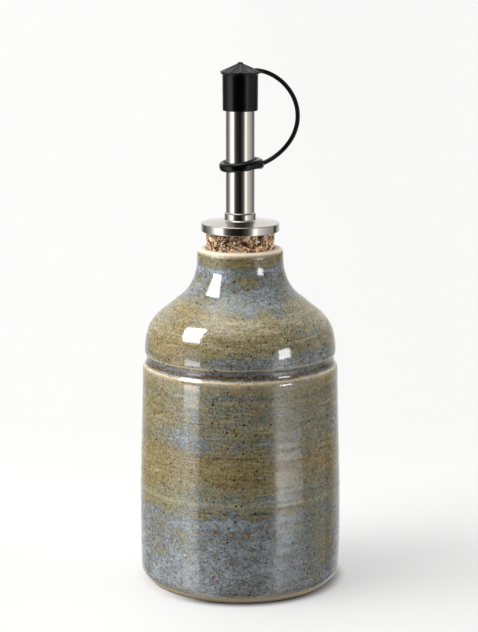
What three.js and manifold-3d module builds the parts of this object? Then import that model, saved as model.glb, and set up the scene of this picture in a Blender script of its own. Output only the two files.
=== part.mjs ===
// Oil cruet: a stoneware bottle, a tapered cork, a steel pouring spout and a tethered rubber cap.
// Millimetres, +Z up. The origin is the centre of the bottle's foot, on the surface it stands on.
import * as THREE from "three";
import { mergeVertices } from "three/addons/utils/BufferGeometryUtils.js";
import Module from "manifold-3d";

// Stoneware bottle, from the foot up. Each pair is [radius, height].
const FOOT_RADIUS = 36.8;
const BARE_CLAY_EDGE = [39.3, 2.8];
const WALL_FOOT = [40.1, 4.4];
const WALL_SWELL = [41.0, 30];
const WALL_TAPER = [39.6, 60];
const WALL_TOP = [39.0, 86.2];
const LEDGE_CORNER = [39.0, 87.4];
const LEDGE_TOP = [38.05, 88.4];
const GROOVE_FLOOR = [37.45, 90.1];
const GROOVE_HEAD = [37.45, 91.6];
const SHOULDER_EDGE = [37.95, 92.7];
const SHOULDER_FOOT = [38.1, 93.5];
const SHOULDER_FULLNESS = 14;
const SHOULDER_TURN = [26.0, 113.8];
const SHOULDER_SLOPE = THREE.MathUtils.degToRad(45.8);
const SHOULDER_HANDLE = 7.1;
const NECK_HANDLE = 13.8;
const LIP_FOOT = [17.03, 131.9];
const LIP_TOP = [15.4, 134.6];

// Tapered cork, and the clearance that every fitted piece keeps.
const CLEARANCE = 0.3;
const CORK_FOOT = [11.6, 116];
const CORK_HEAD = [13.9, 141.25];
const CORK_CHAMFER = 0.4;

// Steel spout: a round plate on the cork, a short collar and a long tube.
const PLATE_RADIUS = 15.5;
const PLATE_THICKNESS = 3.4;
const PLATE_EDGE = 0.4;
const COLLAR_FOOT_RADIUS = 6.9;
const COLLAR_RADIUS = 6.25;
const COLLAR_FLARE = 1.6;
const COLLAR_HEIGHT = 4.1;
const COLLAR_EDGE = 1.1;
const TUBE_RADIUS = 5.7;
const TUBE_TOP = 200;
const TUBE_EDGE = 0.4;

// Rubber cap: a straight skirt, a thin brim and a low cone with ribs and a nub.
const SKIRT_FOOT = [6.95, 188.7];
const SKIRT_TOP = [7.03, 202.3];
const SKIRT_EDGE = 0.3;
const BRIM_RADIUS = 7.75;
const BRIM_EDGE = 0.2;
const BRIM_UNDERSIDE = 203.3;
const BRIM_THICKNESS = 0.8;
const CONE_FOOT_RADIUS = 7.2;
const NUB_RADIUS = 1.1;
const NUB_CROWN = 0.9;
const NUB_FOOT = 206.95;
const CAP_TOP = 207.5;
const RIB_COUNT = 12;
const RIB_HEIGHT = 0.28;

// Rubber strap from the brim out and down to a ring that sits tilted round the tube.
const STRAP_DIRECTION = THREE.MathUtils.degToRad(15);
const STRAP_THICKNESS = 1.8;
const STRAP_WIDTH = 2.2;
const STRAP_ROOT = [6.6, 204.2];
const STRAP_ROOT_HANDLE = 7.3;
const STRAP_REACH = [23.4, 185.9];
const STRAP_REACH_HANDLES = [10.5, 11.6];
const STRAP_END = [7.4, 168.1];
const STRAP_END_HANDLE = 4.8;
const RING_HEIGHT = 167.6;
const RING_SECTION = [2.4, 3.4];
const RING_TILT = THREE.MathUtils.degToRad(8);
const RING_RISES_TOWARDS = THREE.MathUtils.degToRad(33);
const LUG_SIZE = [2.6, 5.4, 4.6];
const LUG_HEIGHT = 167.8;

// How finely the round forms are divided.
const BOTTLE_SIDES = 64;
const CORK_SIDES = 48;
const SPOUT_SIDES = 48;
const CAP_SIDES = 4 * RIB_COUNT;
const CURVE_STEPS = 8;
const EDGE_STEPS = 3;
const STRAP_STEPS = 36;
const STRAP_SECTION_STEPS = 5;
const RING_SECTION_SIDES = 10;
const RING_SIDES = 36;
const WELD = 1e-4;

const MATERIALS = {
  stoneware: { color: 0x8a8470, roughness: 0.22, metalness: 0 },
  cork: { color: 0xba946c, roughness: 0.9, metalness: 0 },
  steel: { color: 0xc9c6c1, roughness: 0.22, metalness: 1 },
  rubber: { color: 0x1b1b1c, roughness: 0.5, metalness: 0 },
};

const wasm = await Module();
wasm.setup();

// A closed solid of revolution about Z. The points run from the axis round the outside back to the axis.
function turned(points, sides) {
  const outline = points.map(([radius, height]) => new THREE.Vector2(radius, height));
  return new THREE.LatheGeometry(outline, sides).rotateX(Math.PI / 2);
}

// Points on a cubic curve in the plane of an outline, without its first point.
function curved(start, startHandle, endHandle, end) {
  const corners = [start, startHandle, endHandle, end].map((corner) => new THREE.Vector2(...corner));
  const curve = new THREE.CubicBezierCurve(...corners);
  return curve.getPoints(CURVE_STEPS).slice(1).map((point) => point.toArray());
}

// Points that round a corner between two points of an outline, without the first one.
function rounded(start, corner, end) {
  const curve = new THREE.QuadraticBezierCurve(
    new THREE.Vector2(...start),
    new THREE.Vector2(...corner),
    new THREE.Vector2(...end),
  );
  return curve.getPoints(EDGE_STEPS).slice(1).map((point) => point.toArray());
}

// The point a given distance from another along a slope that leans inwards as it climbs.
function alongSlope([radius, height], distance, slope) {
  return [radius - distance * Math.cos(slope), height + distance * Math.sin(slope)];
}

function bottleOutline() {
  const shoulderHandle = [SHOULDER_FOOT[0], SHOULDER_FOOT[1] + SHOULDER_FULLNESS];
  const shoulderEnd = alongSlope(SHOULDER_TURN, -SHOULDER_HANDLE, SHOULDER_SLOPE);
  const neckStart = alongSlope(SHOULDER_TURN, 1, SHOULDER_SLOPE);
  const neckHandle = [LIP_FOOT[0], LIP_FOOT[1] - NECK_HANDLE];
  const mouth = [corkRadiusAt(LIP_TOP[1]) + CLEARANCE, LIP_TOP[1]];
  const socketFloor = CORK_FOOT[1] - CLEARANCE;
  return [
    [0, 0],
    [FOOT_RADIUS, 0],
    BARE_CLAY_EDGE,
    WALL_FOOT,
    ...curved(WALL_FOOT, WALL_SWELL, WALL_TAPER, WALL_TOP),
    ...rounded(WALL_TOP, LEDGE_CORNER, LEDGE_TOP),
    GROOVE_FLOOR,
    GROOVE_HEAD,
    SHOULDER_EDGE,
    SHOULDER_FOOT,
    ...curved(SHOULDER_FOOT, shoulderHandle, shoulderEnd, SHOULDER_TURN),
    ...curved(SHOULDER_TURN, neckStart, neckHandle, LIP_FOOT),
    ...rounded(LIP_FOOT, [LIP_FOOT[0], LIP_TOP[1]], LIP_TOP),
    mouth,
    [corkRadiusAt(socketFloor) + CLEARANCE, socketFloor],
    [0, socketFloor],
  ];
}

// The cork's radius at a height, on its straight taper.
function corkRadiusAt(height) {
  const climb = (height - CORK_FOOT[1]) / (CORK_HEAD[1] - CORK_FOOT[1]);
  return THREE.MathUtils.lerp(CORK_FOOT[0], CORK_HEAD[0], climb);
}

function corkOutline() {
  return [
    [0, CORK_FOOT[1]],
    [CORK_FOOT[0] - CORK_CHAMFER, CORK_FOOT[1]],
    [CORK_FOOT[0], CORK_FOOT[1] + CORK_CHAMFER],
    CORK_HEAD,
    [0, CORK_HEAD[1]],
  ];
}

function spoutOutline() {
  const plateFoot = CORK_HEAD[1];
  const plateTop = plateFoot + PLATE_THICKNESS;
  const collarTop = plateTop + COLLAR_HEIGHT;
  const collarFoot = [COLLAR_FOOT_RADIUS, plateTop];
  const collarWaist = [COLLAR_RADIUS, plateTop + COLLAR_FLARE];
  const collarBrow = [COLLAR_RADIUS, collarTop - COLLAR_EDGE];
  return [
    [0, plateFoot],
    [PLATE_RADIUS - PLATE_EDGE, plateFoot],
    [PLATE_RADIUS, plateFoot + PLATE_EDGE],
    [PLATE_RADIUS, plateTop - PLATE_EDGE],
    [PLATE_RADIUS - PLATE_EDGE, plateTop],
    collarFoot,
    ...rounded(collarFoot, [COLLAR_RADIUS, plateTop], collarWaist),
    collarBrow,
    ...rounded(collarBrow, [COLLAR_RADIUS, collarTop], [TUBE_RADIUS, collarTop]),
    [TUBE_RADIUS, TUBE_TOP - TUBE_EDGE],
    [TUBE_RADIUS - TUBE_EDGE, TUBE_TOP],
    [0, TUBE_TOP],
  ];
}

function capOutline() {
  const bore = TUBE_RADIUS + CLEARANCE;
  const boreTop = TUBE_TOP + CLEARANCE;
  const brimTop = BRIM_UNDERSIDE + BRIM_THICKNESS;
  const midCone = [(CONE_FOOT_RADIUS + NUB_RADIUS) / 2, (brimTop + NUB_FOOT) / 2];
  return [
    [0, boreTop],
    [bore, boreTop],
    [bore, SKIRT_FOOT[1]],
    [SKIRT_FOOT[0] - SKIRT_EDGE, SKIRT_FOOT[1]],
    [SKIRT_FOOT[0], SKIRT_FOOT[1] + SKIRT_EDGE],
    SKIRT_TOP,
    ...rounded(SKIRT_TOP, [SKIRT_TOP[0], BRIM_UNDERSIDE], [BRIM_RADIUS - BRIM_EDGE, BRIM_UNDERSIDE]),
    [BRIM_RADIUS, BRIM_UNDERSIDE + BRIM_THICKNESS / 2],
    [CONE_FOOT_RADIUS, brimTop],
    midCone,
    [NUB_RADIUS, NUB_FOOT],
    ...rounded([NUB_RADIUS, NUB_FOOT], [NUB_CROWN, CAP_TOP], [0, CAP_TOP]),
  ];
}

// Lowers the cone between the ribs, which run from the brim to the nub, half a pitch off the strap's line.
function raiseRibs(geometry) {
  const position = geometry.attributes.position;
  const brimTop = BRIM_UNDERSIDE + BRIM_THICKNESS;
  for (let i = 0; i < position.count; i += 1) {
    const radius = Math.hypot(position.getX(i), position.getY(i));
    const onCone = position.getZ(i) > brimTop - WELD && radius > NUB_RADIUS + WELD;
    const angle = Math.atan2(position.getY(i), position.getX(i));
    const offRib = Math.cos((RIB_COUNT * angle) / 2) ** 2;
    if (onCone) position.setZ(i, position.getZ(i) - RIB_HEIGHT * offRib);
  }
  return geometry;
}

// The strap's line in the XZ plane: out from the brim, down past its furthest point and back in to the ring.
function strapRoute() {
  const reachTop = [STRAP_REACH[0], STRAP_REACH[1] + STRAP_REACH_HANDLES[0]];
  const reachFoot = [STRAP_REACH[0], STRAP_REACH[1] - STRAP_REACH_HANDLES[1]];
  const upright = ([x, z]) => new THREE.Vector3(x, 0, z);
  const route = new THREE.CurvePath();
  route.add(
    new THREE.CubicBezierCurve3(
      upright(STRAP_ROOT),
      upright([STRAP_ROOT[0] + STRAP_ROOT_HANDLE, STRAP_ROOT[1]]),
      upright(reachTop),
      upright(STRAP_REACH),
    ),
  );
  route.add(
    new THREE.CubicBezierCurve3(
      upright(STRAP_REACH),
      upright(reachFoot),
      upright([STRAP_END[0] + STRAP_END_HANDLE, STRAP_END[1]]),
      upright(STRAP_END),
    ),
  );
  return route;
}

function strap() {
  const section = new THREE.Shape();
  section.absellipse(0, 0, STRAP_THICKNESS / 2, STRAP_WIDTH / 2, 0, 2 * Math.PI);
  return new THREE.ExtrudeGeometry(section, {
    steps: STRAP_STEPS,
    curveSegments: STRAP_SECTION_STEPS,
    extrudePath: strapRoute(),
  });
}

// The ring round the tube, with the lug that the strap grows out of.
function tiltedRing() {
  const radius = TUBE_RADIUS + CLEARANCE + RING_SECTION[0] / 2;
  const ring = new THREE.TorusGeometry(radius, RING_SECTION[0] / 2, RING_SECTION_SIDES, RING_SIDES);
  ring.scale(1, 1, RING_SECTION[1] / RING_SECTION[0]);
  const rise = RING_RISES_TOWARDS - STRAP_DIRECTION;
  const hinge = new THREE.Vector3(Math.sin(rise), -Math.cos(rise), 0);
  return ring
    .applyMatrix4(new THREE.Matrix4().makeRotationAxis(hinge, RING_TILT))
    .translate(0, 0, RING_HEIGHT);
}

function lug() {
  const [depth, width, height] = LUG_SIZE;
  const clearOfTube = TUBE_RADIUS + CLEARANCE + depth / 2;
  return new THREE.SphereGeometry(0.5, 16, 10)
    .scale(depth, width, height)
    .translate(clearOfTube, 0, LUG_HEIGHT);
}

function toSolid(geometry) {
  const bare = geometry.clone();
  bare.deleteAttribute("normal");
  bare.deleteAttribute("uv");
  const welded = mergeVertices(bare, WELD);
  const triVerts = new Uint32Array(welded.index.array);
  const vertProperties = welded.attributes.position.array;
  return new wasm.Manifold(new wasm.Mesh({ numProp: 3, vertProperties, triVerts }));
}

function toGeometry(solid) {
  const mesh = solid.getMesh();
  const geometry = new THREE.BufferGeometry();
  geometry.setAttribute("position", new THREE.BufferAttribute(mesh.vertProperties, 3));
  geometry.setIndex(new THREE.BufferAttribute(mesh.triVerts, 1));
  geometry.computeVertexNormals();
  return geometry;
}

function capAndStrap() {
  const cap = toSolid(raiseRibs(turned(capOutline(), CAP_SIDES)));
  return toGeometry(cap.add(toSolid(strap())).add(toSolid(tiltedRing())).add(toSolid(lug())));
}

function piece(name, geometry, look) {
  const mesh = new THREE.Mesh(geometry, new THREE.MeshStandardMaterial(look));
  mesh.name = name;
  return mesh;
}

const cruet = new THREE.Group();
cruet.add(piece("bottle", turned(bottleOutline(), BOTTLE_SIDES), MATERIALS.stoneware));
cruet.add(piece("cork_stopper", turned(corkOutline(), CORK_SIDES), MATERIALS.cork));
cruet.add(piece("pour_spout", turned(spoutOutline(), SPOUT_SIDES), MATERIALS.steel));

const tether = new THREE.Group();
tether.rotation.z = STRAP_DIRECTION;
tether.add(piece("cap_and_strap", capAndStrap(), MATERIALS.rubber));
cruet.add(tether);

export default cruet;
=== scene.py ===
"""An oil cruet: a speckled stoneware bottle, a pressed cork, a steel spout and a tethered rubber cap."""

import logging
import math
from dataclasses import dataclass
from enum import Enum
from typing import NamedTuple

import bmesh
import bpy
import numpy as np
from mathutils import Matrix, Vector


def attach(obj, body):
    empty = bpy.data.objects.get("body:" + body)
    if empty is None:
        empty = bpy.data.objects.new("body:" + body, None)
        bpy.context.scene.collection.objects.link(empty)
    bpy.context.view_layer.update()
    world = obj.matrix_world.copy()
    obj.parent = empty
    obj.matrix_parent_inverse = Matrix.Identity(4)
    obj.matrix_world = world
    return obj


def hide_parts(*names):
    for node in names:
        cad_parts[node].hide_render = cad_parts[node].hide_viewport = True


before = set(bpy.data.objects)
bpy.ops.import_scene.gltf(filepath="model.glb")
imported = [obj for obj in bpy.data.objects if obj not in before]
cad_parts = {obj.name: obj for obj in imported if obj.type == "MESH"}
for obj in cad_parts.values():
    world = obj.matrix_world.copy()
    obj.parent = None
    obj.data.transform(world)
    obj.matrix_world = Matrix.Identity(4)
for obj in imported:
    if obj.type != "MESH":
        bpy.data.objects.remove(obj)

LOG = logging.getLogger("cruet")
MM = 0.001
BODY = "root"

Colour = tuple[float, float, float]
Point = tuple[float, float]
Triple = tuple[float, float, float]


class Slot(Enum):
    """The record's material slots."""

    STONEWARE = "glazed_stoneware"
    CORK = "cork"
    STEEL = "steel"
    RUBBER = "black_rubber"


def srgb(red: int, green: int, blue: int) -> Colour:
    """A colour given in display values, as the shader's linear values.

    Args:
        red: Display red, 0 to 255.
        green: Display green, 0 to 255.
        blue: Display blue, 0 to 255.

    Returns:
        The three linear values.
    """

    def linear(level: int) -> float:
        """One display level as a linear value."""
        share = level / 255
        return share / 12.92 if share <= 0.04045 else ((share + 0.055) / 1.055) ** 2.4

    return linear(red), linear(green), linear(blue)


class Bench:
    """A node tree under construction, with one short call for each kind of step."""

    def __init__(self, tree: bpy.types.NodeTree) -> None:
        """Keeps the tree.

        Args:
            tree: The shader or geometry tree to build in.
        """
        self.tree = tree

    def add(self, kind: str, inputs: dict | None = None, **settings: object) -> bpy.types.Node:
        """Adds a node, sets it and feeds its inputs.

        Args:
            kind: The node's type name.
            inputs: Socket name or index to a value or to another node's output.
            settings: Properties of the node itself.

        Returns:
            The new node.
        """
        node = self.tree.nodes.new(kind)
        for key, value in settings.items():
            setattr(node, key, value)
        for key, value in (inputs or {}).items():
            self.feed(node.inputs[key], value)
        return node

    def feed(self, socket: bpy.types.NodeSocket, value: object) -> None:
        """Links or sets one socket.

        Args:
            socket: The input to feed.
            value: Another node's output, a number, or a tuple of numbers.
        """
        if isinstance(value, bpy.types.NodeSocket):
            self.tree.links.new(value, socket)
        elif socket.type == "RGBA" and isinstance(value, tuple):
            socket.default_value = (*value[:3], 1.0)
        else:
            socket.default_value = value

    def math(self, operation: str, first: object, second: object = 0.0, third: object = 0.0,
             clamp: bool = False) -> bpy.types.NodeSocket:
        """One Math node.

        Args:
            operation: The operation's name.
            first: First operand.
            second: Second operand.
            third: Third operand, where the operation has one.
            clamp: True keeps the result from 0 to 1.

        Returns:
            The result.
        """
        node = self.add("ShaderNodeMath", {0: first, 1: second, 2: third}, operation=operation)
        node.use_clamp = clamp
        return node.outputs[0]

    def total(self, *parts: object) -> bpy.types.NodeSocket:
        """The sum of several values."""
        result = parts[0]
        for part in parts[1:]:
            result = self.math("ADD", result, part)
        return result

    def product(self, *parts: object) -> bpy.types.NodeSocket:
        """The product of several values."""
        result = parts[0]
        for part in parts[1:]:
            result = self.math("MULTIPLY", result, part)
        return result

    def centred(self, noise: object, *weights: object) -> bpy.types.NodeSocket:
        """A noise made to swing about zero, times its weights."""
        return self.product(self.math("SUBTRACT", noise, 0.5), *weights)

    def from_axis(self, x: object, y: object) -> bpy.types.NodeSocket:
        """How far a place is from the upright axis."""
        return self.math("SQRT", self.total(self.product(x, x), self.product(y, y)))

    def grey(self, level: object) -> bpy.types.NodeSocket:
        """One level as all three channels of a colour."""
        return self.add("ShaderNodeCombineXYZ", {0: level, 1: level, 2: level}).outputs[0]

    def level_of(self, colour: object) -> bpy.types.NodeSocket:
        """A grey colour, or a random one, as a single number."""
        return self.add("ShaderNodeSeparateColor", {0: colour}).outputs[0]

    def span(self, value: object, low: object, high: object, start: float = 0.0, end: float = 1.0,
             smooth: bool = True) -> bpy.types.NodeSocket:
        """A value's place between two limits, turned into a new range.

        Args:
            value: The value to read.
            low: Where the new range starts.
            high: Where it ends.
            start: Result at low.
            end: Result at high.
            smooth: True eases both ends.

        Returns:
            The result, which stays between start and end.
        """
        node = self.add("ShaderNodeMapRange", {0: value, 1: low, 2: high, 3: start, 4: end})
        node.interpolation_type = "SMOOTHSTEP" if smooth else "LINEAR"
        return node.outputs[0]

    def bump_at(self, value: object, centre: object, width: object) -> bpy.types.NodeSocket:
        """A soft hill of height 1 at a centre that falls to nothing at a distance.

        Args:
            value: The value to read.
            centre: Where the hill stands.
            width: How far the hill reaches on either side.

        Returns:
            The hill's height there.
        """
        away = self.math("ABSOLUTE", self.math("SUBTRACT", value, centre))
        return self.span(away, 0.0, width, 1.0, 0.0)

    def ramp(self, value: object, stops: list[tuple[float, object]]) -> bpy.types.NodeSocket:
        """A colour ramp.

        Args:
            value: Place on the ramp, 0 to 1.
            stops: Place and colour, or place and grey level, in rising order.

        Returns:
            The colour.
        """
        node = self.add("ShaderNodeValToRGB", {0: value})
        band = node.color_ramp
        band.interpolation = "LINEAR"
        while len(band.elements) < len(stops):
            band.elements.new(0.5)
        for element, (place, _) in zip(band.elements, stops):
            element.position = place
        for element, (place, tint) in zip(band.elements, stops):
            element.position = place
            element.color = (*tint, 1.0) if isinstance(tint, tuple) else (tint, tint, tint, 1.0)
        return node.outputs[0]

    def mix(self, factor: object, first: object, second: object, blend: str = "MIX") -> bpy.types.NodeSocket:
        """Mixes two colours.

        Args:
            factor: Share of the second colour.
            first: First colour.
            second: Second colour.
            blend: The blend's name.

        Returns:
            The mixed colour.
        """
        node = self.add("ShaderNodeMix", data_type="RGBA", blend_type=blend)
        self.feed(node.inputs[0], factor)
        self.feed(node.inputs[6], first)
        self.feed(node.inputs[7], second)
        return node.outputs[2]

    def scaled(self, vector: object, factors: Triple, shift: Triple = (0.0, 0.0, 0.0)) -> bpy.types.NodeSocket:
        """A vector stretched by three factors and then shifted."""
        node = self.add("ShaderNodeVectorMath", {0: vector, 1: factors, 2: shift}, operation="MULTIPLY_ADD")
        return node.outputs[0]

    def shifted(self, vector: object, shift: Triple) -> bpy.types.NodeSocket:
        """A vector moved to another part of a noise, so that two noises don't look alike."""
        return self.scaled(vector, (1.0, 1.0, 1.0), shift)

    def fog(self, vector: object, size: float, detail: float = 2.0,
            roughness: float = 0.5) -> bpy.types.NodeSocket:
        """Cloudy noise from 0 to 1.

        Args:
            vector: Where to read it, in millimetres.
            size: Millimetres across one cloud.
            detail: How many finer layers it has.
            roughness: How strong the finer layers are.

        Returns:
            The noise.
        """
        inputs = {"Vector": vector, "Scale": 1.0 / size, "Detail": detail, "Roughness": roughness}
        return self.add("ShaderNodeTexNoise", inputs).outputs[0]

    def cells(self, vector: object, size: float, feature: str = "F1") -> bpy.types.Node:
        """A field of uneven cells.

        Args:
            vector: Where to read it, in millimetres.
            size: Millimetres across one cell.
            feature: What is read of the cells.

        Returns:
            The Voronoi node.
        """
        inputs = {"Vector": vector, "Scale": 1.0 / size, "Randomness": 1.0}
        return self.add("ShaderNodeTexVoronoi", inputs, feature=feature)

    def chosen(self, field: bpy.types.Node, rarity: float) -> bpy.types.NodeSocket:
        """1 in the cells whose random number is over a limit."""
        return self.math("GREATER_THAN", self.level_of(field.outputs["Color"]), rarity)

    def granules(self, place: bpy.types.NodeSocket,
                 size: float) -> tuple[bpy.types.NodeSocket, bpy.types.NodeSocket]:
        """Pressed cork granules, the same ones in a shader and in a shape.

        Args:
            place: Where to read them, in millimetres.
            size: Millimetres across one granule.

        Returns:
            How deep the gap is there, 0 to 1, and a random number for each granule.
        """
        swirl = self.add("ShaderNodeTexNoise", {"Vector": place, "Scale": 0.55, "Detail": 2.0})
        swirl = self.scaled(swirl.outputs["Color"], (4.6, 4.6, 4.6))
        warped = self.add("ShaderNodeVectorMath", {0: self.scaled(place, (1.0, 1.0, 1.25)), 1: swirl},
                          operation="ADD").outputs[0]
        pick = self.add("ShaderNodeSeparateXYZ", {0: self.cells(warped, size).outputs["Color"]}).outputs[0]
        edge = self.cells(warped, size, "DISTANCE_TO_EDGE").outputs["Distance"]
        openness = self.fog(self.shifted(place, (8.0, 2.0, 1.0)), 1.4, 2.0)
        reach = self.span(openness, 0.36, 0.6, 0.03, 0.34)
        gap = self.span(edge, 0.0, reach, 1.0, 0.0)
        hole = self.product(self.math("LESS_THAN", pick, 0.09), self.span(edge, 0.02, 0.16))
        return self.math("MAXIMUM", gap, hole), pick


class Dresser(Bench):
    """A material under construction, on the piece's own coordinates in millimetres."""

    def __init__(self, name: str) -> None:
        """Starts a material with one Principled shader.

        Args:
            name: The material's name.
        """
        self.material = bpy.data.materials.new(name)
        self.material.use_nodes = True
        super().__init__(self.material.node_tree)
        self.tree.nodes.clear()
        self.shader = self.add("ShaderNodeBsdfPrincipled")
        self.add("ShaderNodeOutputMaterial", {"Surface": self.shader.outputs[0]})
        own = self.add("ShaderNodeTexCoord").outputs["Object"]
        self.place = self.scaled(own, (1 / MM, 1 / MM, 1 / MM))
        axes = self.add("ShaderNodeSeparateXYZ", {0: self.place})
        self.x, self.y, self.z = axes.outputs[0], axes.outputs[1], axes.outputs[2]

    def azimuth(self) -> bpy.types.NodeSocket:
        """Degrees round the axis: 0 in front, positive to the right."""
        turn = self.math("ARCTAN2", self.x, self.math("MULTIPLY", self.y, -1.0))
        return self.math("MULTIPLY", turn, math.degrees(1.0))

    def radius(self) -> bpy.types.NodeSocket:
        """Millimetres from the axis."""
        return self.from_axis(self.x, self.y)

    def relief(self, *layers: tuple[object, float, float]) -> None:
        """Stacks bump layers on the shader.

        Args:
            layers: Height from 0 to 1, that height's size in millimetres, and strength.
        """
        normal = None
        for height, depth, strength in layers:
            inputs = {"Height": height, "Distance": depth * MM, "Strength": strength}
            if normal is not None:
                inputs["Normal"] = normal
            normal = self.add("ShaderNodeBump", inputs).outputs[0]
        self.feed(self.shader.inputs["Normal"], normal)

    def set(self, **values: object) -> None:
        """Sets the shader's sockets, with _ for a blank in a name."""
        for name, value in values.items():
            self.feed(self.shader.inputs[name.replace("_", " ")], value)


class Patch(NamedTuple):
    """A soft patch or line on the pot, in degrees round it and millimetres up it."""

    side: float
    reach: float
    level: float
    tall: float
    change: float


class Speck(NamedTuple):
    """One kind of speck, in millimetres, with its reach as a share of its cell."""

    size: float
    reach: float
    rarity: float
    colour: Colour
    strength: float
    shift: Triple


@dataclass(frozen=True)
class SpeckledGlaze:
    """A glossy iron glaze that breaks between olive and blue, over a bare clay foot.

    Each level is a height and how blue the glaze is there.
    Each edge break is a height, a reach and a strength.
    Heights and reaches are in millimetres.
    """

    mustard: Colour = srgb(145, 130, 88)
    olive: Colour = srgb(143, 137, 102)
    moss: Colour = srgb(130, 135, 118)
    slate: Colour = srgb(120, 132, 134)
    lilac: Colour = srgb(143, 153, 162)
    sky: Colour = srgb(160, 174, 186)
    cream: Colour = srgb(228, 212, 174)
    rim: Colour = srgb(243, 231, 206)
    # The lip's flat top: pale grey, a painted reflection of the bright room above.
    lip: Colour = srgb(214, 206, 198)
    tan: Colour = srgb(190, 168, 122)
    ring: Colour = srgb(176, 172, 146)
    rust: Colour = srgb(118, 82, 50)
    # Umber: dark flecks and lines in the glaze, and the painted shade at the clay's very foot.
    umber_and_foot_shade: Colour = srgb(50, 40, 32)
    clay: Colour = srgb(240, 222, 190)
    clay_shade: Colour = srgb(170, 138, 98)
    glaze_edge: float = 2.9
    mouth_radius: float = 13.65
    gloss: float = 0.07
    clay_roughness: float = 0.7
    levels: tuple[Point, ...] = (
        (0.0, 0.80), (9.0, 0.86), (24.0, 0.80), (33.0, 0.72), (36.5, 0.42), (39.5, 0.40), (42.5, 0.52),
        (46.0, 0.34), (50.0, 0.12), (58.0, 0.10), (61.0, 0.34), (66.0, 0.42), (74.0, 0.34), (82.0, 0.46),
        (86.0, 0.30), (89.0, 0.85), (91.0, 0.40), (93.6, 0.70), (97.0, 0.66), (100.0, 0.26), (108.0, 0.20),
        (112.5, 0.26), (115.5, 0.52), (119.0, 0.66), (124.0, 0.54), (127.0, 0.70), (128.6, 0.84),
        (130.3, 0.24), (135.0, 0.10),
    )
    levels_below: int = 15
    patches: tuple[Patch, ...] = (
        Patch(-54.0, 20.0, 70.5, 5.0, 0.20), Patch(-42.0, 22.0, 66.5, 5.5, 0.28),
        Patch(-28.0, 22.0, 62.5, 5.0, 0.30),
        Patch(-62.0, 44.0, 45.0, 10.0, -0.46), Patch(40.0, 26.0, 30.0, 14.0, -0.14),
        Patch(-60.0, 30.0, 76.0, 18.0, -0.34), Patch(-66.0, 38.0, 56.0, 14.0, -0.22),
        Patch(-45.0, 40.0, 98.0, 11.0, -0.55), Patch(24.0, 44.0, 95.5, 5.5, 0.06),
        Patch(-58.0, 30.0, 113.5, 6.0, -0.40), Patch(14.0, 44.0, 115.0, 5.5, 0.26),
        Patch(60.0, 34.0, 20.0, 22.0, -0.42), Patch(46.0, 30.0, 76.0, 20.0, -0.16),
        Patch(8.0, 26.0, 124.5, 5.0, -0.45), Patch(-58.0, 40.0, 22.0, 20.0, -0.16),
        Patch(52.0, 34.0, 106.0, 9.0, 0.24), Patch(0.0, 26.0, 54.0, 12.0, -0.14),
        Patch(40.0, 30.0, 112.0, 8.0, 0.10),
    )
    edge_breaks: tuple[Triple, ...] = (
        (88.1, 0.75, 0.95), (93.0, 0.5, 0.8), (134.6, 2.0, 0.9), (3.3, 0.4, 0.45),
    )
    dark_lines: tuple[Patch, ...] = (
        Patch(-6.0, 34.0, 58.6, 0.35, 1.5), Patch(26.0, 22.0, 56.6, 0.35, 1.4),
        Patch(4.0, 60.0, 36.7, 0.8, 0.9), Patch(-24.0, 16.0, 71.5, 0.35, 1.2),
    )
    kinds: tuple[Speck, ...] = (
        Speck(1.15, 0.30, 0.60, srgb(34, 28, 22), 0.85, (0.0, 0.0, 0.0)),
        Speck(0.85, 0.34, 0.66, rust, 0.65, (9.0, 4.0, 2.0)),
        Speck(1.3, 0.26, 0.62, srgb(214, 196, 150), 0.7, (3.0, 14.0, 8.0)),
        Speck(2.8, 0.20, 0.55, srgb(26, 20, 16), 0.95, (21.0, 5.0, 6.0)),
        Speck(1.0, 0.30, 0.64, srgb(176, 190, 204), 0.6, (5.0, 24.0, 18.0)),
    )

    def spread(self, bench: Dresser, turn: object, height: object, patch: Patch) -> bpy.types.NodeSocket:
        """One patch's change to the glaze, which fades out at its edges.

        Args:
            bench: The material under construction.
            turn: Azimuth in degrees.
            height: Height in millimetres.
            patch: The patch.

        Returns:
            The change there.
        """
        across = bench.bump_at(turn, patch.side, patch.reach)
        along = bench.bump_at(height, patch.level, patch.tall)
        return bench.product(across, along, patch.change)

    def blueness(self, bench: Dresser) -> bpy.types.NodeSocket:
        """How far the glaze has turned blue, from its height, its side and the running of the glaze.

        Args:
            bench: The material under construction.

        Returns:
            0 for olive to 1 for blue.
        """
        turn = bench.azimuth()
        height = bench.total(bench.z, bench.centred(bench.fog(bench.place, 26.0, 2.0), 9.0))
        top = self.levels[-1][0]
        place = bench.math("DIVIDE", height, top)
        stops = [(level / top, grey) for level, grey in self.levels]
        below = bench.ramp(place, stops[:self.levels_below])
        above = bench.ramp(place, stops[self.levels_below - 1:])
        is_above = bench.math("GREATER_THAN", place, stops[self.levels_below - 1][0])
        blue = bench.level_of(bench.mix(is_above, below, above))
        for patch in self.patches:
            blue = bench.total(blue, self.spread(bench, turn, bench.z, patch))
        return blue

    def streakiness(self, bench: Dresser) -> bpy.types.NodeSocket:
        """How strongly the glaze is drawn out round the pot, which is less at the foot and the neck."""
        middle = bench.product(bench.span(bench.z, 34.0, 44.0), bench.span(bench.z, 108.0, 116.0, 1.0, 0.0))
        return bench.total(0.3, bench.product(middle, 0.5))

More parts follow.
